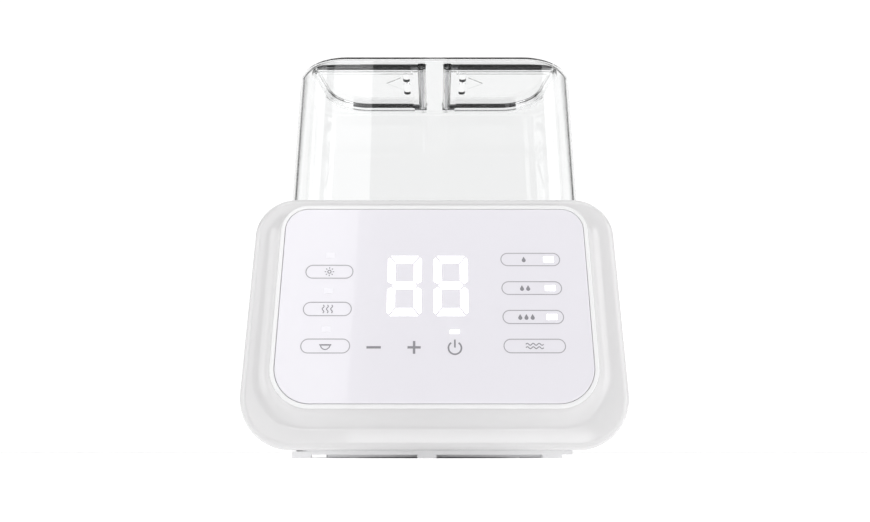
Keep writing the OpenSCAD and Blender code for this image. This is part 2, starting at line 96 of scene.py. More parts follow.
HOOD_MID_Y = (HOOD_LOW[1] + HOOD_HIGH[1]) / 2
HOOD_HALF_W = HOOD_HIGH[0]
HOOD_HALF_D = (HOOD_HIGH[1] - HOOD_LOW[1]) / 2
HOOD_Z = (HOOD_LOW[2], HOOD_HIGH[2])
HOOD_DRAFT = math.radians(1.1)
SHOULDER_R = 8
HOOD_PLAN_R = 27
HOOD_TOP_EDGE_R = 4
HOOD_WALL = 2
LEAST_R = 0.3
RECESS_GAP = 1.3
DECK_Z = 129
TUB_HALF_W = 80.2
TUB_HALF_D = 35.2
TUB_R = 32.2
TUB_HOLE_GAP = 0.4
TUB_HOLE_LOW = 100
FLOOR_HOLE = (68, -50, 56.5, [6] * 4)
INLET_FLANGE_X = 3
INLET_FLANGE_Z = 1.2
INLET_GAP = 0.2
INLET_CUT = (5, -12)

HINGE_X = 8
BARREL_R = 2.6
PIN_BORE_R = 1.06
BOSS_R = 2.2
HINGE_Z = HOOD_Z[1] - BARREL_R
LID_Y = (LID_LOW[1], LID_HIGH[1])
LID_OUTER_X = (75, 68.5)
LID_RADII = (0, 5, 27, 0)
LID_GAP = 0.4
LID_T = 1.8
COLLAR_T = 1.2
SKIRT_X = 13.5
SKIRT_DEPTH = 5
SKIRT_IN = (1, 2.2)
COLLAR_DEPTH = 6.6
COLLAR_TOP_DEPTH = 3
LEDGE_DEPTH = 5.4
LEDGE_OPENING_IN = 2.4
DARK_BAND = 4
SLOT_X = 18
SLOT_HALF_W = 2.1
SLOT_SPANS = ((-9.5, 3.2), (4.8, 20.5))
LID_MARK = ((21.5, -3), (31, 4.5), (21.5, 12))
LID_MARK_T = 0.35

# Heights that cutting tools start from and reach to, below and above the hood's top.
NEAR_TOP = 200
TALL = 300

# How far joined solids run into each other.
OVERLAP = 0.1

# Flat steps to each rounded corner or edge.
PLAN_STEPS = 14
HOOD_PLAN_STEPS = 16
SHOULDER_STEPS = 36
SIDE_STEPS = 6
EDGE_STEPS = 6
COVE_STEPS = 12
FINE_EDGE_STEPS = 4
WINDOW_STEPS = 10
PILL_STEPS = 8
SLOT_STEPS = 6
ROD_STEPS = 32
BORE_STEPS = 24

# The largest angle, in degrees, that is still shaded as one smooth surface.
HOUSING_SMOOTH = 30
GLASS_SMOOTH = 50
CLEAR_SMOOTH = 28

# The background's brightness in front, behind and to the sides, and where along X and Y it changes.
WORLD_FRONT = 0.22
WORLD_BACK = 1.08
WORLD_SIDE = 0.02
WORLD_TURN_Y = (-0.1, 0.35)
WORLD_SIDE_X = (0.52, 0.72)
WORLD_SIDE_Y = (-0.3, 0.0)
WORLD_END_X = (0.82, 0.88)

# The floor is lit from within past a short distance, so that it is as white as the background; nearer the
# middle the glow fades out, painting a soft shadow under and just round the object.
FLOOR_HALF = 20.0
FLOOR_GLOW_REACH = (0.038, 0.085)
FLOOR_GLOW = 0.5

LIGHT_Y = -1.0
LIGHT_AIM = (0, 0, 0.1)

CAMERA_X = 0.0003
CAMERA_BACK = 0.449
CAMERA_Z = 0.003
CAMERA_TILT = 104.29
CAMERA_LENS = 31.03
CAMERA_SENSOR = 36


# ---- Mesh helpers ----

def add_object(name, verts, faces):
    mesh = bpy.data.meshes.new(name)
    mesh.from_pydata([tuple(c * MM for c in v) for v in verts], [], faces)
    mesh.validate()
    obj = bpy.data.objects.new(name, mesh)
    bpy.context.scene.collection.objects.link(obj)
    return obj


def smooth(obj, angle):
    """Shades the piece smooth, except across edges sharper than the angle in degrees."""
    for polygon in obj.data.polygons:
        polygon.use_smooth = True
    obj.data.set_sharp_from_angle(angle=math.radians(angle))
    return obj


def lofted(name, rings):
    """A closed solid through rings of points, all with the same count, with flat ends."""
    count = len(rings[0])
    verts = [p for ring in rings for p in ring]
    faces = [
        (i * count + k, i * count + (k + 1) % count, (i + 1) * count + (k + 1) % count, (i + 1) * count + k)
        for i in range(len(rings) - 1)
        for k in range(count)
    ]
    faces.append(tuple(reversed(range(count))))
    faces.append(tuple((len(rings) - 1) * count + k for k in range(count)))
    return add_object(name, verts, faces)


def combine(target, tool, operation):
    """Boolean of two closed solids, applied to the target; the tool is used up."""
    modifier = target.modifiers.new("combine", "BOOLEAN")
    modifier.operation = operation
    modifier.solver = "EXACT"
    modifier.object = tool
    graph = bpy.context.evaluated_depsgraph_get()
    mesh = bpy.data.meshes.new_from_object(target.evaluated_get(graph))
    target.modifiers.clear()
    target.data = mesh
    mesh.name = target.name
    bpy.data.objects.remove(tool)
    return target


def cut(target, *tools):
    for tool in tools:
        combine(target, tool, "DIFFERENCE")
    return target


def join(target, *tools):
    for tool in tools:
        combine(target, tool, "UNION")
    return target


def mirrored(obj, name):
    """A copy on the other side of the middle."""
    mesh = obj.data.copy()
    for vertex in mesh.vertices:
        vertex.co.x = -vertex.co.x
    mesh.flip_normals()
    mesh.name = name
    copy = bpy.data.objects.new(name, mesh)
    bpy.context.scene.collection.objects.link(copy)
    return copy


# ---- Outlines ----

def unit(v):
    return v / v.length


def quarter(steps):
    """Angles of a quarter turn, both ends included."""
    return [math.radians(90 * k / steps) for k in range(steps + 1)]


def rounded_polygon(corners, radii, grow=0.0, steps=PLAN_STEPS):
    """Points of a convex anticlockwise outline, grown by a distance, with one radius for each corner."""
    count = len(corners)
    corners = [Vector(c) for c in corners]
    points = []
    for i, corner in enumerate(corners):
        back = unit(corners[i - 1] - corner)
        ahead = unit(corners[(i + 1) % count] - corner)
        inward = unit(back + ahead)
        half = math.acos(max(-1.0, min(1.0, back.dot(inward))))
        place = corner - inward * (grow / math.sin(half))
        radius = radii[i] + grow if radii[i] > 0 else 0
        if radius <= 0:
            points.append(place)
            continue
        centre = place + inward * (radius / math.sin(half))
        start = place + back * (radius / math.tan(half)) - centre
        sweep = math.pi - 2 * half
        for k in range(steps + 1):
            turn = sweep * k / steps
            points.append(centre + Vector((
                start.x * math.cos(turn) - start.y * math.sin(turn),
                start.x * math.sin(turn) + start.y * math.cos(turn),
            )))
    return points


def rounded_rect(half_w, low, high, radii, grow=0.0, steps=PLAN_STEPS):
    corners = [(-half_w, low), (half_w, low), (half_w, high), (-half_w, high)]
    return rounded_polygon(corners, radii, grow, steps)


def hood_plan(grow):
    return rounded_rect(
        HOOD_HALF_W, HOOD_MID_Y - HOOD_HALF_D, HOOD_MID_Y + HOOD_HALF_D, [HOOD_PLAN_R] * 4, grow)


def tub_plan(grow):
    return rounded_rect(TUB_HALF_W, HOOD_MID_Y - TUB_HALF_D, HOOD_MID_Y + TUB_HALF_D, [TUB_R] * 4, grow)


def lid_plan(grow, from_x):
    """The right lid's outline, grown by a distance, from a given X outwards."""
    corners = [
        (from_x + grow, LID_Y[0]), (LID_OUTER_X[0], LID_Y[0]),
        (LID_OUTER_X[1], LID_Y[1]), (from_x + grow, LID_Y[1]),
    ]
    return rounded_polygon(corners, LID_RADII, grow)


def column(name, outline, low, high):
    """An upright prism over a plan outline."""
    return lofted(name, [[(p.x, p.y, z) for p in outline] for z in (low, high)])


def on_face(u, v, w):
    """A place given across the front face, up its slope and out of it."""
    return (
        u,
        FACE_Y + v * math.sin(LEAN) - w * math.cos(LEAN),
        v * math.cos(LEAN) + w * math.sin(LEAN),
    )


def face_prism(name, outline, low, high):
    """A prism square to the front face, from one depth to another."""
    return lofted(name, [[on_face(p.x, p.y, w) for p in outline] for w in (low, high)])


def face_v(z):
    """Distance up the slope of a place on the glass with a given height above the table."""
    return (z - PLINTH_H * math.sin(LEAN)) / math.cos(LEAN)


# ---- Materials ----

GRAIN_MM = 0.02
RANGE_SOCKETS = ("From Min", "From Max", "To Min", "To Max")

def material(name):
    mat = bpy.data.materials.new(name)
    mat.use_nodes = True
    nodes = mat.node_tree.nodes
    return mat, nodes, mat.node_tree.links, nodes["Principled BSDF"]


def surface(name, color, roughness, variation=0.02, grain=900, bump=0.02, metallic=0.0, coat=0.0):
    """A moulded or drawn surface: slight colour drift, uneven gloss and a fine grain."""
    mat, nodes, links, shader = material(name)
    coords = nodes.new("ShaderNodeTexCoord")
    drift = nodes.new("ShaderNodeTexNoise")
    drift.inputs["Scale"].default_value = 14
    drift.inputs["Detail"].default_value = 3
    links.new(coords.outputs["Object"], drift.inputs["Vector"])
    tint = nodes.new("ShaderNodeMix")
    tint.data_type = "RGBA"
    tint.inputs["A"].default_value = (*[c * (1 - variation) for c in color], 1)
    tint.inputs["B"].default_value = (*[min(1, c * (1 + variation)) for c in color], 1)
    links.new(drift.outputs["Fac"], tint.inputs["Factor"])
    links.new(tint.outputs["Result"], shader.inputs["Base Color"])
    fine = nodes.new("ShaderNodeTexNoise")
    fine.inputs["Scale"].default_value = grain
    fine.inputs["Detail"].default_value = 2
    links.new(coords.outputs["Object"], fine.inputs["Vector"])
    gloss = nodes.new("ShaderNodeMapRange")
    gloss.inputs["To Min"].default_value = roughness * 0.88
    gloss.inputs["To Max"].default_value = roughness * 1.12
    links.new(fine.outputs["Fac"], gloss.inputs["Value"])
    links.new(gloss.outputs["Result"], shader.inputs["Roughness"])
    relief = nodes.new("ShaderNodeBump")
    relief.inputs["Strength"].default_value = bump
    relief.inputs["Distance"].default_value = GRAIN_MM * MM
    links.new(fine.outputs["Fac"], relief.inputs["Height"])
    links.new(relief.outputs["Normal"], shader.inputs["Normal"])
    shader.inputs["Metallic"].default_value = metallic
    shader.inputs["Coat Weight"].default_value = coat
    shader.inputs["Coat Roughness"].default_value = 0.03
    return mat


def clear(name, color, ior=1.49, roughness=0.01):
    """Clear moulded plastic, with the faint flow marks of moulding in its gloss."""
    mat, nodes, links, shader = material(name)
    coords = nodes.new("ShaderNodeTexCoord")
    flow = nodes.new("ShaderNodeTexNoise")
    flow.inputs["Scale"].default_value = 35
    links.new(coords.outputs["Object"], flow.inputs["Vector"])
    gloss = nodes.new("ShaderNodeMapRange")
    gloss.inputs["To Min"].default_value = roughness * 0.5
    gloss.inputs["To Max"].default_value = roughness * 1.5
    links.new(flow.outputs["Fac"], gloss.inputs["Value"])
    links.new(gloss.outputs["Result"], shader.inputs["Roughness"])
    shader.inputs["Base Color"].default_value = (*color, 1)
    shader.inputs["Transmission Weight"].default_value = 1
    shader.inputs["IOR"].default_value = ior
    return mat


def glowing(name, color, strength):
    """A lit display mark, with a slight unevenness in its light."""
    mat, nodes, links, shader = material(name)
    coords = nodes.new("ShaderNodeTexCoord")
    haze = nodes.new("ShaderNodeTexNoise")
    haze.inputs["Scale"].default_value = 300
    links.new(coords.outputs["Object"], haze.inputs["Vector"])
    level = nodes.new("ShaderNodeMapRange")
    level.inputs["To Min"].default_value = strength * 0.97
    level.inputs["To Max"].default_value = strength * 1.03
    links.new(haze.outputs["Fac"], level.inputs["Value"])
    links.new(level.outputs["Result"], shader.inputs["Emission Strength"])
    shader.inputs["Base Color"].default_value = (*color, 1)
    shader.inputs["Emission Color"].default_value = (*color, 1)
    shader.inputs["Roughness"].default_value = 0.3
    return mat


WHITE = surface("white_plastic_gloss", (0.70, 0.695, 0.70), 0.06)
# Painted highlight: a brighter copy of the housing's white plastic, used on the plinth's top rim.
RIM_PAINTED_HIGHLIGHT = surface("white_plastic_rim_painted_highlight", (0.80, 0.80, 0.805), 0.12)
WHITE_SATIN = surface("white_plastic_satin", (0.80, 0.80, 0.81), 0.35, bump=0.05)
PANEL = surface("panel_lilac_white", (0.765, 0.75, 0.795), 0.2, variation=0.004, bump=0.0, coat=1.0)
CLEAR = clear("hood_clear", (0.95, 0.953, 0.953))
# Painted dark refraction: a near-black clear plastic for the collar bands and slot walls, standing in for
# the dark bands that refraction shows there.
CLEAR_PAINTED_DARK_REFRACTION = clear("hood_clear_painted_dark_refraction", (0.03, 0.03, 0.032))
STEEL = surface("zinc_steel", (0.62, 0.62, 0.64), 0.3, grain=400, metallic=1.0)
STAINLESS = surface("spun_stainless", (0.68, 0.68, 0.69), 0.22, grain=250, bump=0.1, metallic=1.0)
ALUMINIUM = surface("heater_aluminium", (0.72, 0.72, 0.73), 0.4, grain=300, metallic=1.0)
SILICONE = surface("silicone_grey", (0.62, 0.62, 0.63), 0.6, grain=1200, bump=0.1)
DARK = surface("dark_plastic", (0.035, 0.035, 0.04), 0.45, variation=0.1, bump=0.08)
LAMP = surface("lamp_resin", (0.85, 0.85, 0.82), 0.2)
BOARD = surface("board_green", (0.03, 0.16, 0.07), 0.35, variation=0.15, grain=500, bump=0.1)
COPPER = surface("winding_tape", (0.5, 0.3, 0.1), 0.4, variation=0.15, grain=300)
BRASS = surface("brass_bright", (0.75, 0.58, 0.27), 0.2, metallic=1.0)
CABLE = surface("cable_pvc", (0.24, 0.1, 0.06), 0.5, variation=0.1)
PRINT = surface("panel_print_grey", (0.24, 0.235, 0.255), 0.4, variation=0.01, bump=0.0)
PRINT_LINE = surface("panel_print_line", (0.36, 0.35, 0.375), 0.4, variation=0.01, bump=0.0)
DIGIT_GLOW = glowing("digit_glow", (1.0, 0.995, 1.0), 1.0)
LAMP_GLOW = glowing("lamp_glow", (0.76, 0.75, 0.79), 0.09)

CAD_MATERIALS = {
    "white_plastic": WHITE_SATIN, "panel_glass": PANEL, "clear_plastic": CLEAR, "steel": STEEL,
    "stainless": STAINLESS, "aluminium": ALUMINIUM, "silicone": SILICONE, "dark_plastic": DARK,
    "lamp_white": LAMP, "circuit_board": BOARD, "copper": COPPER, "brass": BRASS, "cable": CABLE,
}


def dress_cad():
    """Gives every CAD piece the material of its slot."""
    for part in frame["record"]["subparts"]:
        obj = frame["nodes"][part["node"]]
        obj.data.materials.clear()
        obj.data.materials.append(CAD_MATERIALS[part["material_slot"]])


def piece(obj, mat, body):
    """Makes the object a visible piece of the part, on one of its bodies."""
    obj.data.materials.clear()
    obj.data.materials.append(mat)
    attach(obj, body)
    return obj


# ---- Housing ----

def base_ring(inset, y_of_z, side_inset=0.0):
    """The base's front-view outline, moved in, on a surface that gives Y for each height."""
    half = BASE_HALF - side_inset
    outline = rounded_rect(half, BASE_Z[0], BASE_Z[1], BASE_RADII, -inset)
    return [(p.x, y_of_z(p.y), p.y) for p in outline]


def face_ring(half_w, low, high, radii, grow, w):
    """A rounded rectangle on the front face, at a distance out of it."""
    return [on_face(p.x, p.y, w) for p in rounded_rect(half_w, low, high, radii, grow)]


def blended(ring, other, share):
    """The ring that lies a share of the way from one ring to another."""
    return [tuple(a + (b - a) * share for a, b in zip(p, q)) for p, q in zip(ring, other)]


def front_y(z, back=0.0):
    """Y of the reclined front face at a height, moved back by a distance."""
    return FACE_Y + z * math.tan(LEAN) + back


def rear_rings(inset):
    """From the flat rear face round the two large rear edges to the straight sides."""
    radius = REAR_R - inset
    rings = []
    for turn in quarter(PLAN_STEPS):
        y = REAR_Y - inset - radius * (1 - math.cos(turn))
        side = radius * (1 - math.sin(turn))
        past = max(0.0, y - (REAR_Y - inset - REAR_EDGE_R))
        edge = REAR_EDGE_R - math.sqrt(max(0.0, REAR_EDGE_R ** 2 - past ** 2))
        rings.append(base_ring(inset + edge, lambda z, y=y: y, side - edge if side > edge else 0.0))
    return rings


def housing_skin():
    """The whole outer surface: rear, sides, rounded front edge, cove, plinth rim and glass recess."""
    rings = rear_rings(0.0)
    for turn in quarter(EDGE_STEPS):
        back = EDGE_R * (1 - math.sin(turn))
        rings.append(base_ring(EDGE_R * (1 - math.cos(turn)), lambda z, back=back: front_y(z, back)))
    rings.append(base_ring(EDGE_R + FLAT_LOOP, front_y))
    plinth = (GLASS_HALF, GLASS_V[0], GLASS_V[1])
    outer = [r + PLINTH_RIM for r in GLASS_RADII]
    rim = [GLASS_HALF + PLINTH_RIM, GLASS_V[0] - PLINTH_RIM, GLASS_V[1] + PLINTH_RIM]
    cove = [rim[0] + COVE["side"], rim[1] - COVE["low"], rim[2] + COVE["top"]]
    cove_radii = [r + more for r, more in zip(outer, COVE_RADII_GROW)]
    rings.append(face_ring(*cove, cove_radii, FLAT_LOOP, 0.0))
    for turn in quarter(COVE_STEPS):
        w = (PLINTH_H - RIM_EDGE_R) * (1 - math.cos(turn))
        foot = face_ring(*cove, cove_radii, 0.0, w)
        rings.append(blended(foot, face_ring(*rim, outer, 0.0, w), math.sin(turn)))
    for turn in quarter(FINE_EDGE_STEPS)[1:]:
        w = PLINTH_H - RIM_EDGE_R * (1 - math.sin(turn))
        rings.append(face_ring(*rim, outer, -RIM_EDGE_R * (1 - math.cos(turn)), w))
    rings.append(face_ring(*rim, outer, -RIM_EDGE_R - FLAT_BAND, PLINTH_H))
    for grow, depth in GLASS_GAP_STEPS:
        rings.append(face_ring(*plinth, GLASS_RADII, grow, PLINTH_H - depth))
    return lofted("housing_shell", rings)


def housing_hollow():
    """The space inside the walls, stopping a wall's thickness below the deck that the hood stands on."""
    rings = rear_rings(WALL)
    rings.append(base_ring(WALL, lambda z: front_y(z, WALL / math.cos(LEAN))))
    hollow = lofted("hollow", rings)
    return cut(hollow, column("deck", hood_plan(RECESS_GAP + WALL), DECK_Z - WALL, TALL))


def inlet_hole():
    """The opening for the inlet's body, inside its flange."""
    left = INLET_LOW[0] + INLET_FLANGE_X - INLET_GAP
    right = INLET_HIGH[0] - INLET_FLANGE_X + INLET_GAP
    low = INLET_LOW[2] + INLET_FLANGE_Z - INLET_GAP
    high = INLET_HIGH[2] - INLET_FLANGE_Z + INLET_GAP
    outline = [(left, low), (right, low), (right, high), (left, high)]
    return lofted("inlet_hole", [[(x, REAR_Y + back, z) for x, z in outline] for back in INLET_CUT])


def paint_rim_highlight(shell):
    """Paints a highlight on the plinth's top rim: faces there get a brighter white copy of the housing's
    plastic.
    """
    shell.data.materials.append(RIM_PAINTED_HIGHLIGHT)
    for polygon in shell.data.polygons:
        y, z = polygon.center[1] / MM, polygon.center[2] / MM
        out = z * math.sin(LEAN) - (y - FACE_Y) * math.cos(LEAN)
        if out > PLINTH_H - RIM_TOP_DEPTH:
            polygon.material_index = 1


def make_housing():
    shell = housing_skin()
    glass = rounded_rect(GLASS_HALF, *GLASS_V, GLASS_RADII, steps=WINDOW_STEPS)
    window = rounded_rect(GLASS_HALF, *GLASS_V, GLASS_RADII, -LEDGE_IN, WINDOW_STEPS)
    floor = rounded_rect(*FLOOR_HOLE, steps=WINDOW_STEPS)
    cut(shell,
        housing_hollow(),
        face_prism("plinth_hollow", glass, -WALL - 1, PLINTH_H - GLASS_T - WALL),
        face_prism("window", window, 0, PLINTH_H + 5),
        column("recess", hood_plan(RECESS_GAP), DECK_Z, TALL),
        column("tub_hole", tub_plan(TUB_HOLE_GAP), TUB_HOLE_LOW, TALL),
        column("floor_hole", floor, -1, BASE_Z[0] + WALL + 0.01),
        inlet_hole())
    smooth(shell, HOUSING_SMOOTH)
    piece(shell, WHITE, "base")
    # Painted highlight on the plinth's top rim.
    paint_rim_highlight(shell)
    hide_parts("housing")


def make_glass():
    """The glass panel with a small rounded edge."""
    plan = (GLASS_HALF, *GLASS_V, GLASS_RADII)
    rings = [face_ring(*plan, 0.0, PLINTH_H - GLASS_T)]
    for turn in quarter(FINE_EDGE_STEPS):
        w = PLINTH_H - GLASS_EDGE_R * (1 - math.sin(turn))
        rings.append(face_ring(*plan, -GLASS_EDGE_R * (1 - math.cos(turn)), w))
    rings.append(face_ring(*plan, -GLASS_EDGE_R - FLAT_BAND, PLINTH_H))
    glass = lofted("panel_glass", rings)
    smooth(glass, GLASS_SMOOTH)
    piece(glass, PANEL, "base")
    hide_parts("control_panel")


# ---- Hood and lids ----

def hood_block(name, inset, low=None):
    """The hood's outer form as a solid, moved in by a distance all round."""
    low = HOOD_Z[0] if low is None else low
    half_low = HOOD_HALF_W - inset / math.cos(HOOD_DRAFT)
    shoulder = max(SHOULDER_R - inset, LEAST_R)
    edge = max(HOOD_TOP_EDGE_R - inset, LEAST_R)
    top = HOOD_Z[1] - inset
    centre_z = top - shoulder
    side_x = half_low - (centre_z - HOOD_Z[0]) * math.tan(HOOD_DRAFT)
    centre_x = side_x - shoulder / math.cos(HOOD_DRAFT)
    half_d = HOOD_HALF_D - inset
    plan_r = [HOOD_PLAN_R - inset] * 4

    def ring(half_w, z):
        above = min(edge, max(0.0, z - (top - edge)))
        deep = half_d - edge + math.sqrt(max(0.0, edge ** 2 - above ** 2))
        outline = rounded_rect(half_w, HOOD_MID_Y - deep, HOOD_MID_Y + deep, plan_r, 0.0, HOOD_PLAN_STEPS)
        return [(p.x, p.y, z) for p in outline]

    rings = [
        ring(half_low - (z - HOOD_Z[0]) * math.tan(HOOD_DRAFT), z)
        for z in [low + (centre_z - low) * k / SIDE_STEPS for k in range(SIDE_STEPS + 1)]
    ]
    for k in range(SHOULDER_STEPS + 1):
        turn = HOOD_DRAFT + (math.pi / 2 - HOOD_DRAFT) * k / SHOULDER_STEPS
        rings.append(ring(centre_x + shoulder * math.cos(turn), centre_z + shoulder * math.sin(turn)))
    return lofted(name, rings)


def hinge_rod(name, low, high, radius, steps=ROD_STEPS):
    """A rod along the right lid's hinge line, between two places along Y."""
    circle = [2 * math.pi * k / steps for k in range(steps)]
    return lofted(name, [
        [(HINGE_X + radius * math.cos(a), y, HINGE_Z + radius * math.sin(a)) for a in circle]
        for y in (high, low)
    ])


def lid_opening():
    """The collar and hinge bosses round one lid, and what is cut away inside them."""
    barrel_x = HINGE_X - BARREL_R
    top = HOOD_Z[1]
    near, far = LID_Y[0] - LID_GAP, LID_Y[1] + LID_GAP
    boss = COLLAR_T + 1
    collar_plan = lid_plan(LID_GAP + COLLAR_T - OVERLAP, barrel_x)
    collar = column("collar", collar_plan, top - COLLAR_DEPTH, top - COLLAR_TOP_DEPTH)
    join(collar,
         column("collar_band", lid_plan(LID_GAP + COLLAR_T, barrel_x), top - DARK_BAND, top - 1),
         hinge_rod("boss_near", near - boss, near - OVERLAP, BOSS_R),
         hinge_rod("boss_far", far + OVERLAP, far + boss, BOSS_R))
    mouth = column("mouth", lid_plan(LID_GAP, barrel_x), top - LEDGE_DEPTH, TALL)
    inner = column("inner", lid_plan(-LEDGE_OPENING_IN, barrel_x), NEAR_TOP, TALL - 1)
    well = column("hinge_well", [
        Vector((barrel_x - LID_GAP, near)), Vector((SKIRT_X, near)),
        Vector((SKIRT_X, far)), Vector((barrel_x - LID_GAP, far)),
    ], NEAR_TOP - 1, TALL - 2)
    join(mouth, inner, well)
    return collar, mouth


def paint_dark_refraction_bands(obj, mat):
    """Paints dark refraction, as a near-black clear material, on the bands at a lid's near and far edge and
    on the slots' walls.
    """
    edge_reach, slot_reach, span_reach = 2, 0.2, 0.5
    facing, upright = 0.9, 0.1
    obj.data.materials.append(mat)
    for polygon in obj.data.polygons:
        x, y, z = (c / MM for c in polygon.center)
        across = abs(polygon.normal[1]) > facing and abs(x) < LID_OUTER_X[0]
        in_band = z > HOOD_Z[1] - DARK_BAND - OVERLAP
        at_edge = min(abs(y - edge) for edge in LID_Y) < edge_reach
        by_slot = (
            abs(abs(x) - SLOT_X) < SLOT_HALF_W + slot_reach
            and SLOT_SPANS[0][0] - span_reach < y < SLOT_SPANS[1][1] + span_reach
        )
        if (across and in_band and at_edge) or (by_slot and abs(polygon.normal[2]) < upright):
            polygon.material_index = 1


def make_hood():
    shell = hood_block("hood_clear_shell", 0.0)
    cut(shell, hood_block("hood_hollow", HOOD_WALL, HOOD_Z[0] - 10))
    collar, mouth = lid_opening()
    join(shell, mirrored(collar, "collar_left"), collar)
    cut(shell, mirrored(mouth, "mouth_left"), mouth)
    smooth(shell, CLEAR_SMOOTH)
    piece(shell, CLEAR, "hood")
    # Painted dark refraction on the hood's collar bands and slot walls.
    paint_dark_refraction_bands(shell, CLEAR_PAINTED_DARK_REFRACTION)
    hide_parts("hood")


def make_lids():
    top = HOOD_Z[1]
    lid = column("lid_clear_right", lid_plan(0, HINGE_X), top - LID_T, top)
    skirt = column("skirt", lid_plan(-SKIRT_IN[0], SKIRT_X + 1), top - SKIRT_DEPTH, top - 1)
    cut(skirt, column("skirt_hollow", lid_plan(-SKIRT_IN[1], 0), NEAR_TOP, TALL))
    join(lid, skirt, hinge_rod("barrel", LID_Y[0], LID_Y[1], BARREL_R))
    mark = [Vector(corner) for corner in LID_MARK]
    join(lid, column("mark", mark, top - LID_T - LID_MARK_T, top - LID_T + 0.2))
    cut(lid, hinge_rod("pin_bore", LID_Y[0] - 2, LID_Y[1] + 2, PIN_BORE_R, BORE_STEPS))
    left, right = SLOT_X - SLOT_HALF_W, SLOT_X + SLOT_HALF_W
    for low, high in SLOT_SPANS:
        corners = [(left, low), (right, low), (right, high), (left, high)]
        slot = rounded_polygon(corners, [SLOT_HALF_W - 0.01] * 4, 0.0, SLOT_STEPS)
        cut(lid, column("slot", slot, NEAR_TOP, TALL))
    for obj, side in ((lid, "right"), (mirrored(lid, "lid_clear_left"), "left")):
        smooth(obj, CLEAR_SMOOTH)
        piece(obj, CLEAR, "lid_" + side)
        # Painted dark refraction on the lid's edge bands and slot walls.
        paint_dark_refraction_bands(obj, CLEAR_PAINTED_DARK_REFRACTION)
        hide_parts("lid_" + side)


# ---- Panel prints and lamps ----

PRINT_LOW = PLINTH_H + 0.01
PRINT_HIGH = PLINTH_H + 0.04

LEFT_X = -55.4
LEFT_Z = (95.2, 74.7, 55.1)
LEFT_PILL = (25.3, 7.8)
LEFT_LAMP_Z = (104.6, 84.6, 64)
LEFT_LAMP = (4.6, 3.0)
RIGHT_X = 50.9
RIGHT_Z = (102.1, 86.1, 70.4, 55.1)
RIGHT_PILL = (31.7, 7.6)
RIGHT_LAMP_X = 60.6
RIGHT_LAMP = (5.4, 3.0)
KEY_Z = 54.4
MINUS_X = -30.8
PLUS_X = -10.3
POWER_X = 10.4
POWER_LAMP_Z = 62.5
POWER_LAMP = (5.0, 2.0)
DIGIT_X = (-15.7, 8.6)
DIGIT_Z = 87.5
LINE_W = 0.5
BOLD_W = 1.25
POWER_W = 0.85


def printed(name, loops, mat):
    """Flat shapes on the glass, from closed loops; a loop inside another is a hole."""
    low, high = PRINT_LOW, PRINT_HIGH
    curve = bpy.data.curves.new(name, "CURVE")
    curve.dimensions = "2D"
    curve.fill_mode = "BOTH"
    curve.extrude = (high - low) / 2 * MM
    for loop in loops:
        spline = curve.splines.new("POLY")
        spline.points.add(len(loop) - 1)
        spline.use_cyclic_u = True
        for point, place in zip(spline.points, loop):
            point.co = (place[0] * MM, place[1] * MM, 0, 1)
    draft = bpy.data.objects.new(name + "_draft", curve)
    bpy.context.scene.collection.objects.link(draft)
    graph = bpy.context.evaluated_depsgraph_get()
    mesh = bpy.data.meshes.new_from_object(draft.evaluated_get(graph))
    bpy.data.objects.remove(draft)
    middle = (low + high) / 2
    for vertex in mesh.vertices:
        u, v, w = (c / MM for c in vertex.co)
        vertex.co = Vector(on_face(u, v, w + middle)) * MM
    mesh.name = name
    obj = bpy.data.objects.new(name, mesh)
    bpy.context.scene.collection.objects.link(obj)
    return piece(obj, mat, "base")


def stadium(x, z, width, height, inset=0.0):
    """A bar with round ends, by its middle's place across the glass and height above the table."""
    radius = height / 2 - inset
    corners = rounded_rect(width / 2 - inset, -radius, radius, [radius * 0.999] * 4, 0.0, PILL_STEPS)
    return [(x + p.x, face_v(z) + p.y) for p in corners]


def box_loop(x, v, width, height):
    return [(x + sx * width / 2, v + sy * height / 2) for sx, sy in ((-1, -1), (1, -1), (1, 1), (-1, 1))]


def stroke(path, width):
    """The outline of a line of a given width along a path."""
    left, right = [], []
    for i, place in enumerate(path):
        a = Vector(path[max(i - 1, 0)])
        b = Vector(path[min(i + 1, len(path) - 1)])
        normal = Vector((a.y - b.y, b.x - a.x)).normalized() * width / 2
        left.append(tuple(Vector(place) + normal))
        right.append(tuple(Vector(place) - normal))
    return left + right[::-1]


def arc(x, v, radius, start, end, steps=20):
    turns = [math.radians(start + (end - start) * k / steps) for k in range(steps + 1)]
    return [(x + radius * math.cos(a), v + radius * math.sin(a)) for a in turns]


def wave(x, v, length, height, upright=False, cycles=1.5, steps=18):
    points = []
    for k in range(steps + 1):
        along = length * (k / steps - 0.5)
        across = height * math.sin(2 * math.pi * cycles * k / steps)
        points.append((x + across, v + along) if upright else (x + along, v + across))
    return points


def drop(x, v, size):
    tip = (x, v + size * 1.25)
    return [tip] + arc(x, v, size * 0.62, 40, -220, 16)


def pill_outlines():
    """A thin line round each pill-shaped key."""
    loops = []
    for x, heights, pill in ((LEFT_X, LEFT_Z, LEFT_PILL), (RIGHT_X, RIGHT_Z, RIGHT_PILL)):
        for z in heights:
            loops += [stadium(x, z, *pill), stadium(x, z, *pill, LINE_W)]
    return loops


def sun(x, v):
    disc_r, hole_r, almost_round = 1.1, 0.6, 342
    rays, ray_span = 8, (1.7, 2.5)
    loops = [arc(x, v, disc_r, 0, almost_round), arc(x, v, hole_r, 0, almost_round)]
    for k in range(rays):
        a = 2 * math.pi * k / rays
        loops.append(stroke([(x + r * math.cos(a), v + r * math.sin(a)) for r in ray_span], LINE_W))
    return loops


def steam(x, v):
    apart, height, swing = 2.2, 4.4, 0.45
    return [stroke(wave(x + k * apart, v, height, swing, upright=True), LINE_W) for k in (-1, 0, 1)]


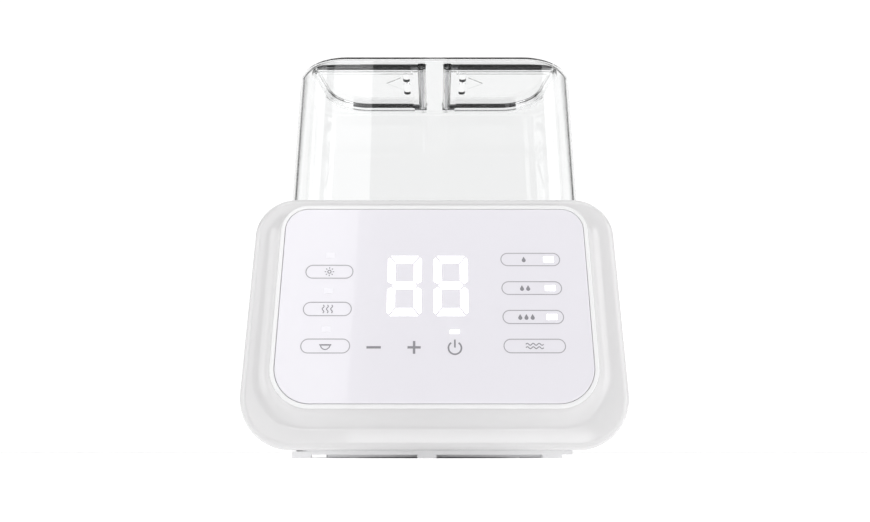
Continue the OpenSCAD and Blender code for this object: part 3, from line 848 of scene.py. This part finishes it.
def bowl(x, v):
    radius, lift, rim_lift, rim_width = 2.4, 0.6, 0.7, 6.2
    return [
        stroke(arc(x, v + lift, radius, 180, 360), LINE_W),
        box_loop(x, v + rim_lift, rim_width, LINE_W),
    ]


def drops(x, v, count):
    apart, size = 3.2, 1.7
    return [drop(x + (k - (count - 1) / 2) * apart, v, size) for k in range(count)]


def ripples(x, v):
    lift, length, swing = 0.9, 9, 0.5
    return [stroke(wave(x, v + up * lift, length, swing, cycles=3, steps=36), LINE_W) for up in (-1, 1)]


def pictograms():
    """Generic marks in the pills: warmth, steam and a bowl; one to three drops, and waves."""
    loops = []
    for mark, z in zip((sun, steam, bowl), LEFT_Z):
        loops += mark(LEFT_X, face_v(z))
    drops_left, drops_down = 3.5, 0.5
    for count, z in zip((1, 2, 3), RIGHT_Z):
        loops += drops(RIGHT_X - drops_left, face_v(z) - drops_down, count)
    return loops + ripples(RIGHT_X, face_v(RIGHT_Z[3]))


def key_icons():
    """Minus, plus and power marks."""
    v = face_v(KEY_Z)
    minus_width, arm, half = 7.3, 6.7 / 2, BOLD_W / 2
    plus = [
        (-half, -arm), (half, -arm), (half, -half), (arm, -half), (arm, half), (half, half),
        (half, arm), (-half, arm), (-half, half), (-arm, half), (-arm, -half), (-half, -half),
    ]
    ring_r, ring_down, ring_steps = 3.3, 0.3, 28
    stem_up, stem_height = 2.0, 4.2
    return [
        box_loop(MINUS_X, v, minus_width, BOLD_W),
        [(PLUS_X + x, v + y) for x, y in plus],
        stroke(arc(POWER_X, v - ring_down, ring_r, 125, 415, ring_steps), POWER_W),
        box_loop(POWER_X, v + stem_up, POWER_W, stem_height),
    ]


def digit_segments():
    """Two seven-segment figures, all segments lit."""
    half_w, half_h, bar, gap = 8.9, 16.7, 4.2, 0.7
    loops = []
    v0 = face_v(DIGIT_Z)
    for x0 in DIGIT_X:
        for side in (-1, 1):
            cap = [(-half_w + 1.6, half_h), (half_w - 1.6, half_h),
                   (half_w - bar - 0.4, half_h - bar), (-half_w + bar + 0.4, half_h - bar)]
            loops.append([(x0 + x, v0 + side * y) for x, y in cap])
            for up in (-1, 1):
                post = [
                    (half_w, half_h - 1.9), (half_w, gap + 1.6), (half_w - 2.0, gap + 0.3),
                    (half_w - bar + 0.2, bar / 2 + 0.6), (half_w - bar + 0.2, half_h - bar - 0.5),
                    (half_w - 0.9, half_h - 1.0),
                ]
                loops.append([(x0 + side * x, v0 + up * y) for x, y in post])
        bar_half = bar / 2
        middle = [
            (-half_w + 2.6, 0), (-half_w + 4.2, bar_half), (half_w - 4.2, bar_half),
            (half_w - 2.6, 0), (half_w - 4.2, -bar_half), (-half_w + 4.2, -bar_half),
        ]
        loops.append([(x0 + x, v0 + y) for x, y in middle])
    return loops


def lamp_bars():
    """The lit lamps in the three upper right pills and above the power mark."""
    loops = [box_loop(RIGHT_LAMP_X, face_v(z), *RIGHT_LAMP) for z in RIGHT_Z[:3]]
    return loops + [box_loop(POWER_X, face_v(POWER_LAMP_Z), *POWER_LAMP)]


def soft_lamp_bars():
    """The faint lamps above the left pills."""
    return [box_loop(LEFT_X, face_v(z), *LEFT_LAMP) for z in LEFT_LAMP_Z]


def make_prints():
    printed("pill_outlines", pill_outlines(), PRINT_LINE)
    printed("pill_pictograms", pictograms(), PRINT)
    printed("key_icons", key_icons(), PRINT)
    printed("digit_segments", digit_segments(), DIGIT_GLOW)
    printed("lamp_bars", lamp_bars(), DIGIT_GLOW)
    printed("soft_lamp_bars", soft_lamp_bars(), LAMP_GLOW)


# ---- Camera and studio ----

def make_camera():
    """A low camera close in front, tilted up, as such products are often shown."""
    data = bpy.data.cameras.new("camera")
    data.sensor_width = CAMERA_SENSOR
    data.lens = CAMERA_LENS
    data.clip_start = 0.01
    camera = bpy.data.objects.new("camera", data)
    camera.location = (CAMERA_X, HOOD_MID_Y * MM - CAMERA_BACK, CAMERA_Z)
    camera.rotation_euler = (math.radians(CAMERA_TILT), 0, 0)
    bpy.context.scene.collection.objects.link(camera)
    bpy.context.scene.camera = camera


def make_floor():
    """White paper, lit from within except under and just round the object, where its real shadow shows and
    the fading glow adds a painted shadow.
    """
    half = FLOOR_HALF
    corners = [(-half, -half, 0), (half, -half, 0), (half, half, 0), (-half, half, 0)]
    mesh = bpy.data.meshes.new("floor")
    mesh.from_pydata(corners, [], [(0, 1, 2, 3)])
    floor = bpy.data.objects.new("floor", mesh)
    bpy.context.scene.collection.objects.link(floor)
    paper = surface("floor_white", (0.8, 0.8, 0.8), 0.8, variation=0.0, bump=0.0)
    nodes, links = paper.node_tree.nodes, paper.node_tree.links
    shader = nodes["Principled BSDF"]
    coords = nodes.new("ShaderNodeTexCoord")
    reach = nodes.new("ShaderNodeVectorMath")
    reach.operation = "LENGTH"
    links.new(coords.outputs["Object"], reach.inputs[0])
    glow = nodes.new("ShaderNodeMapRange")
    for socket, value in zip(RANGE_SOCKETS, (*FLOOR_GLOW_REACH, 0.0, FLOOR_GLOW)):
        glow.inputs[socket].default_value = value
    links.new(reach.outputs["Value"], glow.inputs["Value"])
    shader.inputs["Emission Color"].default_value = (1, 1, 1, 1)
    links.new(glow.outputs["Result"], shader.inputs["Emission Strength"])
    mesh.materials.append(paper)


def area_light(name, place, target, size, radiance):
    """A rectangular softbox aimed at a target, as bright as asked whatever its size."""
    data = bpy.data.lights.new(name, "AREA")
    data.shape = "RECTANGLE"
    data.size, data.size_y = size
    data.energy = radiance * math.pi * size[0] * size[1]
    light = bpy.data.objects.new(name, data)
    light.location = place
    light.rotation_euler = (Vector(target) - Vector(place)).to_track_quat("-Z", "Y").to_euler()
    light.visible_camera = False
    bpy.context.scene.collection.objects.link(light)


def make_world():
    """White behind and at both sides, grey in front; dark bands between these draw the hood's edges."""
    world = bpy.data.worlds.new("studio")
    bpy.context.scene.world = world
    world.use_nodes = True
    nodes, links = world.node_tree.nodes, world.node_tree.links
    coords = nodes.new("ShaderNodeTexCoord")
    split = nodes.new("ShaderNodeSeparateXYZ")
    links.new(coords.outputs["Generated"], split.inputs["Vector"])
    aside = nodes.new("ShaderNodeMath")
    aside.operation = "ABSOLUTE"
    links.new(split.outputs["X"], aside.inputs[0])

    def graded(source, reach, at_low, at_high):
        grade = nodes.new("ShaderNodeMapRange")
        grade.interpolation_type = "SMOOTHSTEP"
        for socket, value in zip(RANGE_SOCKETS, (*reach, at_low, at_high)):
            grade.inputs[socket].default_value = value
        links.new(source, grade.inputs["Value"])
        return grade.outputs["Result"]

    def worked_out(operation, first, second):
        node = nodes.new("ShaderNodeMath")
        node.operation = operation
        links.new(first, node.inputs[0])
        links.new(second, node.inputs[1])
        return node.outputs[0]

    behind = graded(split.outputs["Y"], WORLD_TURN_Y, WORLD_FRONT, WORLD_BACK)
    sides = graded(aside.outputs[0], WORLD_SIDE_X, 1, WORLD_SIDE)
    before = graded(split.outputs["Y"], WORLD_SIDE_Y, 1, 0)
    ends = graded(aside.outputs[0], WORLD_END_X, 0, 1)
    banded = worked_out("MULTIPLY", behind, worked_out("MAXIMUM", sides, before))
    nodes["Background"].inputs["Color"].default_value = (1, 1, 1, 1)
    links.new(worked_out("MAXIMUM", banded, ends), nodes["Background"].inputs["Strength"])


def facing_light(name, x_span, z_span, radiance):
    """An upright rectangular softbox in front of the object, facing straight back, given by its spans."""
    size = (x_span[1] - x_span[0], z_span[1] - z_span[0])
    centre = ((x_span[0] + x_span[1]) / 2, LIGHT_Y, (z_span[0] + z_span[1]) / 2)
    area_light(name, centre, (centre[0], 0, centre[2]), size, radiance)


def make_lights():
    """The softboxes, each with its place or spans, its size and how bright it is."""
    facing_light("left_softbox", (-0.4, -0.157), (0.28, 0.95), 1.3)
    facing_light("low_softbox", (-0.28, 0.28), (0.2, 0.311), 3.6)
    for side, radiance in ((-1, 1.8), (1, 2.3)):
        area_light("side_softbox", (side * 0.85, -0.55, 0.4), LIGHT_AIM, (0.5, 0.8), radiance)
    area_light("top_softbox", (0.0, -0.45, 1.15), LIGHT_AIM, (1.2, 0.5), 2.2)


dress_cad()
make_housing()
make_glass()
make_hood()
make_lids()
make_prints()
make_camera()
make_floor()
make_world()
make_lights()
bpy.context.scene.view_settings.view_transform = "Standard"
